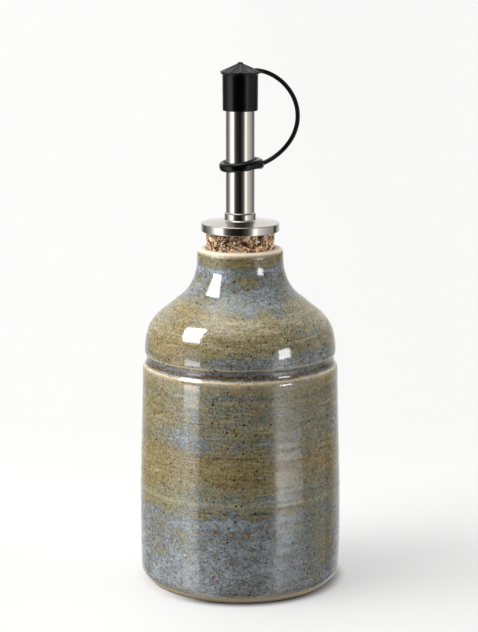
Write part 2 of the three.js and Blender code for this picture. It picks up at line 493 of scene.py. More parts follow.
    def ground(self, bench: Dresser, streaks: object, grain: object) -> bpy.types.NodeSocket:
        """The glaze's colour from olive to blue, before its shading and its specks.

        Args:
            bench: The material under construction.
            streaks: Noise drawn out round the pot.
            grain: Fine noise.

        Returns:
            The colour.
        """
        place = bench.place
        broad_streaks = bench.fog(bench.scaled(place, (0.05, 0.05, 1.0), (7.0, 3.0, 1.0)), 6.0, 2.0)
        mottle = bench.fog(bench.scaled(place, (0.6, 0.6, 1.0), (31.0, 5.0, 9.0)), 3.2, 4.0, 0.65)
        clouds = bench.fog(bench.scaled(place, (0.8, 0.8, 1.0), (13.0, 44.0, 7.0)), 6.5, 2.0, 0.5)
        blue = bench.total(
            self.blueness(bench),
            bench.centred(streaks, self.streakiness(bench)),
            bench.centred(broad_streaks, 0.5),
            bench.centred(mottle, 1.05),
            bench.centred(clouds, bench.span(bench.z, 32.0, 42.0, 0.85, 0.4)),
            bench.centred(grain, 1.15),
        )
        return bench.ramp(blue, [(0.0, self.mustard), (0.25, self.olive), (0.45, self.moss),
                                 (0.62, self.slate), (0.82, self.lilac), (1.0, self.sky)])

    def shaded(self, bench: Dresser, tint: object) -> bpy.types.NodeSocket:
        """The colour with its darker and lighter runs, most of them drawn out round the pot.

        Args:
            bench: The material under construction.
            tint: The colour so far.

        Returns:
            The colour with its shading.
        """
        place = bench.place
        pull = self.streakiness(bench)
        depth = bench.fog(bench.scaled(place, (0.6, 0.6, 1.0), (41.0, 7.0, 3.0)), 0.8, 3.0, 0.7)
        drawn = bench.fog(bench.scaled(place, (0.045, 0.045, 1.0), (5.0, 9.0, 31.0)), 0.95, 3.0, 0.6)
        shade = bench.total(1.0, bench.centred(depth, 1.5), bench.centred(drawn, pull, 1.4))
        tint = bench.mix(1.0, tint, bench.grey(shade), "MULTIPLY")
        lights = bench.fog(bench.scaled(place, (0.14, 0.14, 1.0), (11.0, 2.0, 40.0)), 1.6, 4.0, 0.66)
        shoulder = bench.product(bench.span(bench.z, 97.0, 102.0), bench.span(bench.z, 109.0, 114.0, 1.0, 0.0))
        lit = bench.total(bench.product(bench.span(lights, 0.50, 0.74, 0.0, 0.56), pull),
                          bench.product(shoulder, bench.span(lights, 0.44, 0.6, 0.0, 0.13)))
        return bench.mix(lit, tint, self.cream)

    def blotched(self, bench: Dresser, tint: object) -> bpy.types.NodeSocket:
        """The colour with its rust blotches and its dark and pale flecks.

        Args:
            bench: The material under construction.
            tint: The colour so far.

        Returns:
            The colour with its blotches.
        """
        blotch = bench.fog(bench.shifted(bench.place, (60.0, 21.0, 4.0)), 1.25, 3.0, 0.66)
        tint = bench.mix(bench.span(blotch, 0.53, 0.62, 0.0, 0.72), tint, self.rust)
        fleck = bench.fog(bench.shifted(bench.place, (16.0, 61.0, 24.0)), 0.9, 3.0, 0.7)
        tint = bench.mix(bench.span(fleck, 0.56, 0.66, 0.0, 0.6), tint, self.umber_and_foot_shade)
        return bench.mix(bench.span(fleck, 0.36, 0.44, 0.45, 0.0), tint, self.tan)

    def pooled(self, bench: Dresser, height: object, tint: object) -> bpy.types.NodeSocket:
        """The colour with the glaze pooled dark and rusty low in the groove, and a slaty grey in its upper
        part that is a painted reflection.

        Args:
            bench: The material under construction.
            height: Height in millimetres, with the glaze's waver.
            tint: The colour so far.

        Returns:
            The colour with the dark groove.
        """
        in_groove = bench.product(bench.span(height, 88.7, 89.5), bench.span(height, 91.9, 92.5, 1.0, 0.0))
        noise = bench.fog(bench.scaled(bench.place, (0.4, 0.4, 1.0)), 0.9, 3.0, 0.7)
        rusty = bench.ramp(noise, [(0.34, srgb(34, 26, 20)), (0.47, srgb(86, 62, 42)),
                                   (0.56, srgb(108, 84, 58)), (0.68, srgb(120, 122, 122))])
        # The slaty grey of the groove's upper part is a painted reflection.
        slaty = bench.ramp(noise, [(0.36, srgb(84, 84, 86)), (0.52, srgb(124, 128, 134)),
                                   (0.7, srgb(150, 146, 134))])
        pool = bench.mix(bench.span(height, 90.4, 91.2), rusty, slaty)
        return bench.mix(bench.product(in_groove, 0.85), tint, pool)

    def breaks(self, bench: Dresser, tint: object) -> bpy.types.NodeSocket:
        """The colour with thin cream breaks on every edge, a few dark lines, one light ring and a painted
        reflection on the lip's flat top.

        Args:
            bench: The material under construction.
            tint: The colour so far.

        Returns:
            The colour with its breaks.
        """
        waver = bench.fog(bench.scaled(bench.place, (0.35, 0.35, 0.2)), 2.5, 3.0, 0.6)
        height = bench.total(bench.z, bench.centred(waver, 0.9))
        tint = self.pooled(bench, height, tint)
        for level, reach, strength in self.edge_breaks:
            tint = bench.mix(bench.product(bench.bump_at(height, level, reach), strength), tint, self.cream)
        tint = bench.mix(bench.span(height, 133.3, 134.2, 0.0, 0.8), tint, self.rim)
        turn = bench.azimuth()
        broken = bench.fog(bench.scaled(bench.place, (0.5, 0.5, 0.5), (17.0, 1.0, 6.0)), 1.2, 3.0, 0.7)
        for line in self.dark_lines:
            share = bench.product(self.spread(bench, turn, height, line), bench.span(broken, 0.36, 0.62))
            tint = bench.mix(share, tint, self.umber_and_foot_shade)
        light_ring = bench.product(bench.bump_at(height, 39.6, 1.6), bench.span(broken, 0.3, 0.62), 0.7)
        tint = bench.mix(light_ring, tint, self.ring)
        fade = bench.fog(bench.scaled(bench.place, (0.9, 0.9, 0.12), (2.0, 8.0, 0.0)), 2.2, 3.0, 0.6)
        drips = bench.product(bench.span(bench.z, 82.0, 87.8), bench.span(bench.z, 87.9, 88.4, 1.0, 0.0),
                              bench.span(fade, 0.25, 0.75))
        tint = bench.mix(bench.product(drips, 0.8), tint, self.tan)
        # The lip's flat top turns pale grey: a painted reflection.
        return bench.mix(bench.span(bench.z, 134.46, 134.57, 0.0, 0.8), tint, self.lip)

    def specks(self, bench: Dresser, tint: object) -> bpy.types.NodeSocket:
        """Small dark, rust, cream and pale blue specks, each kind on its own field, and fainter on the lip.

        Args:
            bench: The material under construction.
            tint: The colour so far.

        Returns:
            The colour with its specks.
        """
        clear_lip = bench.span(bench.z, 132.4, 133.4, 1.0, 0.12)
        for kind in self.kinds:
            field = bench.cells(bench.shifted(bench.place, kind.shift), kind.size)
            spot = bench.span(field.outputs["Distance"], kind.reach * 0.55, kind.reach, 1.0, 0.0)
            share = bench.product(spot, bench.chosen(field, kind.rarity), clear_lip, kind.strength)
            tint = bench.mix(share, tint, kind.colour)
        return tint

    def bare_clay(self, bench: Dresser) -> bpy.types.NodeSocket:
        """Where the pot has no glaze: at its foot, up to a slightly wavy edge, and inside its mouth.

        Args:
            bench: The material under construction.

        Returns:
            1 for bare clay to 0 for glaze.
        """
        waver = bench.fog(bench.scaled(bench.place, (1.0, 1.0, 0.0)), 9.0, 3.0)
        edge = bench.total(self.glaze_edge, bench.centred(waver, 0.9))
        foot = bench.span(bench.math("SUBTRACT", edge, bench.z), 0.0, 0.25)
        inside = bench.product(bench.math("GREATER_THAN", bench.z, 100.0),
                               bench.math("LESS_THAN", bench.radius(), self.mouth_radius))
        return bench.math("MAXIMUM", foot, inside)

    def dress(self) -> bpy.types.Material:
        """Makes the material.

        Returns:
            The material.
        """
        bench = Dresser("speckled_glaze")
        streaks = bench.fog(bench.scaled(bench.place, (0.07, 0.07, 1.0)), 1.7, 4.0, 0.62)
        grain = bench.fog(bench.scaled(bench.place, (0.75, 0.75, 1.0), (3.0, 17.0, 2.0)), 1.0, 3.0, 0.62)
        tint = self.blotched(bench, self.shaded(bench, self.ground(bench, streaks, grain)))
        tint = self.specks(bench, self.breaks(bench, tint))
        bare = self.bare_clay(bench)
        clay = bench.mix(bench.fog(bench.place, 0.7, 4.0, 0.7), self.clay, self.clay_shade)
        # The clay darkens to umber at its very foot: painted contact shade.
        clay = bench.mix(bench.span(bench.z, 0.2, 1.3, 0.6, 0.0), clay, self.umber_and_foot_shade)
        thin = bench.total(bench.product(bench.bump_at(bench.z, 134.6, 2.8), 0.95),
                           bench.product(bench.bump_at(bench.z, 88.2, 1.0), 0.1))
        rough = bench.total(bench.span(grain, 0.3, 0.75, self.gloss, self.gloss + 0.05), thin,
                            bench.product(bare, self.clay_roughness - self.gloss))
        bench.set(Base_Color=bench.mix(bare, tint, clay), Roughness=rough, IOR=1.52)
        peel = bench.fog(bench.place, 3.4, 2.0, 0.5)
        bench.relief((streaks, 0.05, 0.35), (peel, 0.12, 0.25), (grain, 0.03, 0.25))
        return bench.material


@dataclass(frozen=True)
class PressedCork:
    """Pressed cork granules with pale flecks, painted glints, and painted shade in the gaps and voids between
    them.
    """

    pale: Colour = srgb(255, 246, 226)
    tan: Colour = srgb(252, 208, 156)
    brown: Colour = srgb(170, 114, 72)
    # Near-black for the gaps and voids: painted shade.
    gap: Colour = srgb(22, 14, 10)
    granule: float = 1.9
    kinds: tuple[Speck, ...] = (
        # The first kind paints pale glints, which are painted highlights; the second paints dark voids, which
        # is painted shade.
        Speck(1.7, 0.36, 0.74, pale, 0.9, (5.0, 2.0, 8.0)),
        Speck(2.0, 0.36, 0.62, gap, 0.9, (1.0, 7.0, 3.0)),
    )

    def dress(self) -> bpy.types.Material:
        """Makes the material.

        Returns:
            The material.
        """
        bench = Dresser("pressed_cork")
        gaps, pick = bench.granules(bench.place, self.granule)
        tint = bench.ramp(pick, [(0.0, self.brown), (0.3, self.brown), (0.5, self.tan), (0.8, self.tan),
                                 (1.0, self.pale)])
        fleck = bench.fog(bench.place, 0.45, 3.0, 0.8)
        tint = bench.mix(bench.span(fleck, 0.52, 0.66, 0.0, 0.75), tint, self.brown)
        tint = bench.mix(bench.span(fleck, 0.38, 0.46, 0.95, 0.0), tint, self.pale)
        for kind in self.kinds:
            field = bench.cells(bench.shifted(bench.place, kind.shift), kind.size)
            away = bench.total(field.outputs["Distance"], bench.centred(fleck, 1.3))
            spot = bench.span(away, kind.reach * 0.6, kind.reach, kind.strength, 0.0)
            tint = bench.mix(bench.product(spot, bench.chosen(field, kind.rarity)), tint, kind.colour)
        # The gaps between the granules are painted dark: painted shade.
        tint = bench.mix(bench.product(gaps, 0.95), tint, self.gap)
        bench.set(Base_Color=tint, Roughness=0.92)
        bench.relief((fleck, 0.25, 0.8))
        return bench.material


@dataclass(frozen=True)
class TurnedSteel:
    """Polished stainless steel with fine turning marks on its flat faces."""

    tint: Colour = srgb(216, 210, 202)
    smear: Colour = srgb(200, 192, 182)
    roughness: float = 0.12
    plate_roughness: float = 0.055
    brushing: float = 0.8

    def dress(self) -> bpy.types.Material:
        """Makes the material.

        Returns:
            The material.
        """
        bench = Dresser("turned_steel")
        rings = bench.add("ShaderNodeTexNoise", {"W": bench.radius(), "Scale": 7.0, "Detail": 3.0},
                          noise_dimensions="1D").outputs[0]
        turned = bench.add("ShaderNodeTexNoise", {"W": bench.z, "Scale": 6.0, "Detail": 2.0},
                           noise_dimensions="1D").outputs[0]
        smears = bench.fog(bench.scaled(bench.place, (1.0, 1.0, 0.25)), 5.0, 3.0, 0.6)
        brushed = bench.span(bench.z, 145.2, 147.0, self.plate_roughness, self.roughness)
        rough = bench.total(brushed, bench.span(smears, 0.3, 0.7, -0.015, 0.015), bench.centred(rings, 0.03))
        tint = bench.mix(bench.span(smears, 0.35, 0.8, 0.0, 0.3), self.tint, self.smear)
        along = bench.add("ShaderNodeCombineXYZ", {0: bench.product(bench.y, -1.0), 1: bench.x}).outputs[0]
        bench.set(Base_Color=tint, Roughness=rough, Metallic=1.0, Anisotropic=self.brushing,
                  Anisotropic_Rotation=0.25, Tangent=along)
        bench.relief((rings, 0.02, 0.35), (turned, 0.01, 0.2))
        return bench.material


@dataclass(frozen=True)
class MouldedRubber:
    """Satin black rubber with a fine moulded grain."""

    tint: Colour = srgb(4, 4, 4)
    dust: Colour = srgb(8, 8, 8)
    # A lighter grey for the rib crests: a painted highlight.
    painted_rib_highlight: Colour = srgb(80, 80, 80)
    roughness: float = 0.12
    rib_count: int = 12
    crown_foot: float = 204.2

    def dress(self) -> bpy.types.Material:
        """Makes the material.

        Returns:
            The material.
        """
        bench = Dresser("moulded_rubber")
        cloud = bench.fog(bench.place, 4.0, 4.0, 0.65)
        grain = bench.fog(bench.place, 0.22, 2.0, 0.6)
        tint = bench.mix(bench.span(cloud, 0.45, 0.8, 0.0, 0.45), self.tint, self.dust)
        radius = bench.radius()
        place = bench.math("FRACT", bench.total(bench.product(bench.azimuth(), self.rib_count / 360), 100.5))
        away = bench.math("ABSOLUTE", bench.centred(place, radius, math.tau / self.rib_count))
        on_crown = bench.math("GREATER_THAN", bench.z, self.crown_foot)
        # Painted highlight: a lighter grey along the crests of the crown's ribs, patchy with the cloud.
        crest = bench.product(bench.span(away, 0.08, 0.24, 1.0, 0.0), on_crown, bench.span(radius, 1.1, 1.5))
        tint = bench.mix(bench.product(crest, bench.span(cloud, 0.3, 0.6, 0.35, 0.9)), tint, self.painted_rib_highlight)
        rough = bench.total(bench.span(cloud, 0.3, 0.75, self.roughness - 0.03, self.roughness + 0.05),
                            bench.centred(grain, 0.06))
        bench.set(Base_Color=tint, Roughness=rough, IOR=1.37)
        bench.relief((grain, 0.03, 0.15), (cloud, 0.1, 0.1))
        return bench.material


def curved(start: Point, first: Point, second: Point, end: Point, steps: int) -> list[Point]:
    """Points on a cubic curve, without its first point.

    Args:
        start: Where the curve starts.
        first: Handle at the start.
        second: Handle at the end.
        end: Where the curve ends.
        steps: How many points to give.

    Returns:
        The points.
    """
    corners = np.array([start, first, second, end], float)
    t = np.linspace(0, 1, steps + 1)[1:, None]
    weights = [(1 - t) ** 3, 3 * (1 - t) ** 2 * t, 3 * (1 - t) * t ** 2, t ** 3]
    return [tuple(p) for p in sum(w * c for w, c in zip(weights, corners))]


def rounded(start: Point, corner: Point, end: Point, steps: int) -> list[Point]:
    """Points that round a corner, without the first point.

    Args:
        start: Where the rounding starts.
        corner: The corner it cuts off.
        end: Where it ends.
        steps: How many points to give.

    Returns:
        The points.
    """
    first = tuple(s + (c - s) * 2 / 3 for s, c in zip(start, corner))
    second = tuple(e + (c - e) * 2 / 3 for e, c in zip(end, corner))
    return curved(start, first, second, end, steps)


def softened(points: list[Point], spread: float, keep: int = 1) -> list[Point]:
    """An outline with its corners melted a little, as glaze or polish leaves them.

    Args:
        points: The outline.
        spread: How far a corner melts, in millimetres.
        keep: How many points at each end stay as they are.

    Returns:
        The outline with evenly spaced points, half the spread apart.
    """
    body = np.array(points[keep:len(points) - keep], float)
    along = np.concatenate([[0], np.cumsum(np.linalg.norm(np.diff(body, axis=0), axis=1))])
    step = spread / 2
    fine = np.arange(0, along[-1], step)
    even = np.stack([np.interp(fine, along, body[:, axis]) for axis in (0, 1)], axis=1)
    reach = 6
    kernel = np.exp(-0.5 * (np.arange(-reach, reach + 1) * step / spread) ** 2)
    kernel /= kernel.sum()
    padded = np.concatenate([2 * even[0] - even[reach:0:-1], even, 2 * even[-1] - even[-2:-reach - 2:-1]])
    smooth = np.stack([np.convolve(padded[:, axis], kernel, "valid") for axis in (0, 1)], axis=1)
    return points[:keep] + [tuple(p) for p in smooth] + points[len(points) - keep:]


def thinned(points: list[Point], longest: float, bend: float) -> list[Point]:
    """Drops outline points where it runs straight.

    Args:
        points: The outline.
        longest: Longest step that may stay, in millimetres.
        bend: How many degrees the outline may turn between two points.

    Returns:
        The points that stay.
    """
    kept = [points[0]]
    heading = None
    for here, ahead in zip(points[1:], points[2:] + [points[-1]]):
        step = math.dist(kept[-1], here)
        now = math.degrees(math.atan2(ahead[1] - here[1], ahead[0] - here[0]))
        heading = now if heading is None else heading
        turned_by = abs((now - heading + 180) % 360 - 180)
        if step >= longest or turned_by >= bend:
            kept.append(here)
            heading = now
    if kept[-1] != points[-1]:
        kept.append(points[-1])
    return kept


def mesh_of(name: str, points: np.ndarray, faces: list[tuple[int, ...]]) -> bpy.types.Mesh:
    """A smooth-shaded mesh from points in millimetres.

    Args:
        name: The mesh's name.
        points: One row for each vertex, in millimetres.
        faces: Vertex numbers of each face, anticlockwise from outside.

    Returns:
        The mesh, in metres.
    """
    mesh = bpy.data.meshes.new(name)
    mesh.from_pydata((np.asarray(points) * MM).tolist(), [], faces)
    mesh.shade_smooth()
    mesh.update()
    return mesh


def turned_mesh(name: str, outline: list[Point], sides: int) -> bpy.types.Mesh:
    """A closed solid of revolution about Z.

    Args:
        name: The mesh's name.
        outline: Radius and height from the axis at the foot, round the outside, back to the axis.
        sides: How many faces go round.

    Returns:
        The mesh.
    """
    turn = np.linspace(0, 2 * math.pi, sides, endpoint=False)
    rows = np.array(outline[1:-1], float)
    ring = np.stack([np.outer(rows[:, 0], np.cos(turn)), np.outer(rows[:, 0], np.sin(turn)),
                     np.repeat(rows[:, 1:2], sides, axis=1)], axis=2)
    points = np.concatenate([[[0, 0, outline[0][1]]], ring.reshape(-1, 3), [[0, 0, outline[-1][1]]]])
    last = len(points) - 1
    start = 1 + (len(rows) - 1) * sides
    faces = []
    for j in range(sides):
        k = (j + 1) % sides
        faces.append((0, 1 + k, 1 + j))
        faces += [(1 + i * sides + j, 1 + i * sides + k, 1 + (i + 1) * sides + k, 1 + (i + 1) * sides + j)
                  for i in range(len(rows) - 1)]
        faces.append((last, start + j, start + k))
    return mesh_of(name, points, faces)


def swept_mesh(name: str, centres: np.ndarray, across: np.ndarray, up: np.ndarray, sizes: np.ndarray,
               closed: bool, sides: int = 28, squareness: float = 2.0) -> bpy.types.Mesh:
    """A tube of changing oval section along a line.

    Args:
        name: The mesh's name.
        centres: Middle of each section, in millimetres.
        across: Unit vector of each section's first half width.
        up: Unit vector of each section's second half width.
        sizes: Both half widths of each section.
        closed: True joins the last section to the first.
        sides: Points round a section.
        squareness: 2 is an ellipse, and more is squarer.

    Returns:
        The mesh.
    """
    turn = np.linspace(0, 2 * math.pi, sides, endpoint=False)
    cos, sin = np.cos(turn), np.sin(turn)
    flat = 2 / squareness
    cos, sin = np.sign(cos) * np.abs(cos) ** flat, np.sign(sin) * np.abs(sin) ** flat
    ring = (centres[:, None] + across[:, None] * (sizes[:, :1] * cos)[..., None]
            + up[:, None] * (sizes[:, 1:] * sin)[..., None])
    points = ring.reshape(-1, 3)
    count = len(centres)
    faces = []
    for i in range(count if closed else count - 1):
        n = (i + 1) % count
        for j in range(sides):
            k = (j + 1) % sides
            faces.append((i * sides + j, i * sides + k, n * sides + k, n * sides + j))
    if not closed:
        faces.append(tuple(range(sides))[::-1])
        faces.append(tuple((count - 1) * sides + j for j in range(sides)))
    return mesh_of(name, points, faces)


def outward(mesh: bpy.types.Mesh) -> bpy.types.Mesh:
    """Turns every face of a closed mesh outwards.

    Args:
        mesh: The mesh, which is changed in place.

    Returns:
        The same mesh.
    """
    work = bmesh.new()
    work.from_mesh(mesh)
    bmesh.ops.recalc_face_normals(work, faces=work.faces)
    work.to_mesh(mesh)
    work.free()
    return mesh


class Former(Bench):
    """A Geometry Nodes tree that reshapes a piece by rule, with named inputs for its sizes."""

    def __init__(self, name: str, sizes: dict[str, float]) -> None:
        """Starts the tree.

        Args:
            name: The tree's name.
            sizes: Name and value of each input.
        """
        group = bpy.data.node_groups.new(name, "GeometryNodeTree")
        super().__init__(group)
        group.interface.new_socket("Geometry", in_out="INPUT", socket_type="NodeSocketGeometry")
        group.interface.new_socket("Geometry", in_out="OUTPUT", socket_type="NodeSocketGeometry")
        self.sizes = sizes
        self.identifiers = {
            title: group.interface.new_socket(title, in_out="INPUT", socket_type="NodeSocketFloat").identifier
            for title in sizes
        }
        self.source = self.add("NodeGroupInput")
        self.target = self.add("NodeGroupOutput")
        self.place = self.scaled(self.add("GeometryNodeInputPosition").outputs[0], (1 / MM, 1 / MM, 1 / MM))
        axes = self.add("ShaderNodeSeparateXYZ", {0: self.place})
        self.x, self.y, self.z = axes.outputs[0], axes.outputs[1], axes.outputs[2]
        self.normal = self.add("GeometryNodeInputNormal").outputs[0]
        self.radius = self.from_axis(self.x, self.y)
        self.turn = self.math("ARCTAN2", self.y, self.x)

    def size(self, title: str) -> bpy.types.NodeSocket:
        """The socket of one named input."""
        return self.source.outputs[title]

    def pushed(self, geometry: bpy.types.NodeSocket, along: bpy.types.NodeSocket,
               distance: bpy.types.NodeSocket) -> bpy.types.NodeSocket:
        """Moves every point.

        Args:
            geometry: The piece.
            along: Unit direction at each point.
            distance: How far, in millimetres.

        Returns:
            The moved piece.
        """
        inputs = {0: along, "Scale": self.product(distance, MM)}
        offset = self.add("ShaderNodeVectorMath", inputs, operation="SCALE").outputs[0]
        return self.add("GeometryNodeSetPosition", {"Geometry": geometry, "Offset": offset}).outputs[0]

    def close(self, geometry: bpy.types.NodeSocket, material: bpy.types.Material) -> None:
        """Ends the tree in Realize Instances and Set Material.

        Args:
            geometry: What the tree has made.
            material: The finish it gets.
        """
        real = self.add("GeometryNodeRealizeInstances", {0: geometry}).outputs[0]
        dressed = self.add("GeometryNodeSetMaterial", {"Geometry": real, "Material": material}).outputs[0]
        self.feed(self.target.inputs[0], dressed)

    def applied(self, mesh: bpy.types.Mesh, name: str) -> bpy.types.Object:
        """Runs the tree on a mesh and keeps the result as a plain mesh.

        Args:
            mesh: The mesh to reshape.
            name: The new piece's name.

        Returns:
            The new piece, at the origin, with no modifier left.
        """
        blank = bpy.data.objects.new(name + "_blank", mesh)
        bpy.context.scene.collection.objects.link(blank)
        modifier = blank.modifiers.new(self.tree.name, "NODES")
        modifier.node_group = self.tree
        for title, value in self.sizes.items():
            modifier[self.identifiers[title]] = float(value)
        return baked(blank, name)


def baked(blank: bpy.types.Object, name: str) -> bpy.types.Object:
    """Turns an object with modifiers into a plain piece and removes it.

    Args:
        blank: The object with its modifiers.
        name: The new piece's name.

    Returns:
        The new piece.
    """
    bpy.context.view_layer.update()
    shaped = blank.evaluated_get(bpy.context.evaluated_depsgraph_get())
    mesh = bpy.data.meshes.new_from_object(shaped)
    mesh.name = name
    bpy.data.objects.remove(blank)
    piece = bpy.data.objects.new(name, mesh)
    bpy.context.scene.collection.objects.link(piece)
    return piece


def fitted(piece: bpy.types.Object, node: str) -> bpy.types.Object:
    """Hangs a finished piece on the frame in place of its CAD node.

    Args:
        piece: The finished piece.
        node: The CAD node it stands for.

    Returns:
        The piece.
    """
    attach(piece, BODY)
    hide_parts(node)
    triangles = sum(len(face.vertices) - 2 for face in piece.data.polygons)
    LOG.info("%s stands for %s with %d triangles", piece.name, node, triangles)
    return piece


@dataclass
class ThrownBottle:
    """The bottle, from its foot to its lip. Each pair is a radius and a height in millimetres."""

    foot_radius: float = 36.8
    bare_edge: Point = (39.3, 2.8)
    wall_foot: Point = (40.05, 4.4)
    wall_swell: Point = (40.95, 30.0)
    wall_taper: Point = (39.55, 60.0)
    wall_top: Point = (38.95, 86.2)
    ledge_corner: Point = (38.95, 87.6)
    ledge_top: Point = (38.05, 88.5)
    groove_floor: Point = (37.25, 89.3)
    groove_head: Point = (37.3, 91.8)
    shoulder_edge: Point = (37.95, 92.7)
    shoulder_foot: Point = (38.1, 93.5)
    shoulder_fullness: float = 14.0
    shoulder_turn: Point = (26.0, 113.8)
    shoulder_slope: float = math.radians(45.8)
    shoulder_handle: float = 7.1
    neck_handle: float = 13.8
    lip_foot: Point = (17.03, 131.9)
    lip_top: Point = (15.4, 134.6)
    mouth_radius: float = 13.6
    socket: Point = (11.87, 115.7)
    sides: int = 256
    ring_depth: float = 0.09
    ring_pitch: float = 4.2
    wander: float = 0.5
    seed: float = 3.0
    dent_depth: float = 0.24
    ridge_height: float = 0.16
    ridge_level: float = 39.4

    def outline(self) -> list[Point]:
        """The bottle's outline from the axis at the foot to the floor of the cork's socket."""
        slope = (math.cos(self.shoulder_slope), math.sin(self.shoulder_slope))
        turn = self.shoulder_turn
        fullness = (self.shoulder_foot[0], self.shoulder_foot[1] + self.shoulder_fullness)
        before = (turn[0] + self.shoulder_handle * slope[0], turn[1] - self.shoulder_handle * slope[1])
        after = (turn[0] - slope[0], turn[1] + slope[1])
        neck = (self.lip_foot[0], self.lip_foot[1] - self.neck_handle)
        wall = [(self.foot_radius, 0.0), self.bare_edge, self.wall_foot,
                *curved(self.wall_foot, self.wall_swell, self.wall_taper, self.wall_top, 60),
                *rounded(self.wall_top, self.ledge_corner, self.ledge_top, 8),
                *curved(self.ledge_top, self.groove_floor, self.groove_head, self.shoulder_edge, 14),
                self.shoulder_foot, *curved(self.shoulder_foot, fullness, before, turn, 50),
                *curved(turn, after, neck, self.lip_foot, 50),
                *rounded(self.lip_foot, (self.lip_foot[0], self.lip_top[1]), self.lip_top, 14),
                (self.mouth_radius + 0.5, self.lip_top[1])]
        wall = thinned(softened(wall, 0.3), 0.75, 4.0)
        floor = [(0.0, 0.0)] + [(radius, 0.0) for radius in (8.0, 16.0, 24.0, 31.0, 35.5)]
        brow = (self.mouth_radius, self.lip_top[1] - 0.4)
        mouth = [(self.mouth_radius + 0.12, self.lip_top[1] - 0.12), brow]
        inner = [(brow[0] + (self.socket[0] - brow[0]) * t, brow[1] + (self.socket[1] - brow[1]) * t)
                 for t in (0.25, 0.5, 0.75, 1.0)]
        return floor + wall + mouth + inner + [(6.0, self.socket[1]), (0.0, self.socket[1])]

    def rings(self, material: bpy.types.Material) -> Former:
        """The rule for throwing rings: shallow waves up the wall, with one stronger ridge.

        Args:
            material: The glaze.

        Returns:
            The tree.
        """
        former = Former("throwing_rings", {"Ring depth": self.ring_depth, "Ring pitch": self.ring_pitch,
                                           "Wander": self.wander, "Ridge height": self.ridge_height,
                                           "Ridge level": self.ridge_level, "Seed": self.seed})
        climb = former.math("SINE", former.total(former.turn, 0.6))
        height = former.total(former.z, former.product(climb, former.size("Wander")))
        wave = former.add("ShaderNodeTexNoise", {
            "W": former.total(former.math("DIVIDE", height, former.size("Ring pitch")), former.size("Seed")),
            "Scale": 1.0, "Detail": 2.0, "Roughness": 0.55}, noise_dimensions="1D").outputs[0]
        wave = former.math("SUBTRACT", wave, 0.5)
        dents = former.fog(former.scaled(former.place, (1.0, 1.0, 0.6)), 26.0, 2.0)
        zone = former.total(
            former.product(former.span(former.z, 6.0, 14.0), former.span(former.z, 78.0, 86.0, 1.0, 0.0)),
            former.product(former.span(former.z, 95.0, 102.0), former.span(former.z, 126.0, 131.0, 1.0, 0.0)))
        depth = former.product(wave, former.size("Ring depth"), 2.0, zone)
        on_ridge = former.bump_at(height, former.size("Ridge level"), 2.2)
        ridge = former.product(on_ridge, former.size("Ridge height"))
        dent = former.product(former.math("SUBTRACT", dents, 0.62), self.dent_depth, zone)
        outside = former.math("GREATER_THAN", former.radius, 15.0)
        push = former.product(former.total(depth, ridge, dent), outside)
        former.close(former.pushed(former.source.outputs[0], former.normal, push), material)
        return former

    def build(self, glaze: SpeckledGlaze) -> bpy.types.Object:
        """Makes and fits the bottle.

        Args:
            glaze: Its finish.

        Returns:
            The piece.
        """
        blank = turned_mesh("bottle_blank", self.outline(), self.sides)
        piece = self.rings(glaze.dress()).applied(blank, "stoneware_bottle")
        return fitted(piece, "bottle")


@dataclass
class CorkStopper:
    """The tapered cork. Each pair is a radius and a height in millimetres."""

    foot: Point = (11.6, 116.0)
    head: Point = (13.9, 141.25)
    chamfer: float = 0.4
    lip_height: float = 134.0
    sides: int = 540
    fine_rows: int = 46
    relief: float = 0.42
    crumb: float = 0.22

    def radius_at(self, height: float) -> float:
        """The cork's radius at a height."""
        climb = (height - self.foot[1]) / (self.head[1] - self.foot[1])
        return self.foot[0] + (self.head[0] - self.foot[0]) * climb

    def outline(self) -> list[Point]:
        """The cork's outline, with close rows only where it shows."""
        foot, head = self.foot, self.head
        hidden, shown = (
            [(self.radius_at(z), z) for z in heights]
            for heights in (np.linspace(foot[1] + self.chamfer, self.lip_height, 6)[:-1],
                            np.linspace(self.lip_height, head[1] - 0.05, self.fine_rows)))
        return [(0.0, foot[1]), (foot[0] - self.chamfer, foot[1]), *hidden, *shown, (head[0] - 0.15, head[1]),
                (7.0, head[1]), (0.0, head[1])]

    def granules(self, finish: PressedCork, material: bpy.types.Material) -> Former:
        """The rule for granules: each cell stands proud and the gaps between them sink.

        Args:
            finish: The cork's finish, for its granule size.
            material: The material made from it.

        Returns:
            The tree.
        """
        former = Former("cork_granules", {"Gap depth": self.relief, "Crumb": self.crumb})
        gap, _ = former.granules(former.place, finish.granule)
        crumb = former.fog(former.place, 0.5, 2.0)
        depth = former.total(former.product(gap, former.size("Gap depth")),
                             former.product(crumb, former.size("Crumb")))
        shown = former.product(former.span(former.z, self.lip_height, self.lip_height + 0.6),
                               former.math("GREATER_THAN", former.radius, 12.5))
        push = former.product(depth, shown, -1.0)
        former.close(former.pushed(former.source.outputs[0], former.normal, push), material)
        return former

    def build(self, finish: PressedCork) -> bpy.types.Object:
        """Makes and fits the cork.

        Args:
            finish: Its finish.

        Returns:
            The piece.
        """
        blank = turned_mesh("cork_blank", self.outline(), self.sides)
        piece = self.granules(finish, finish.dress()).applied(blank, "pressed_cork_stopper")
        return fitted(piece, "cork_stopper")


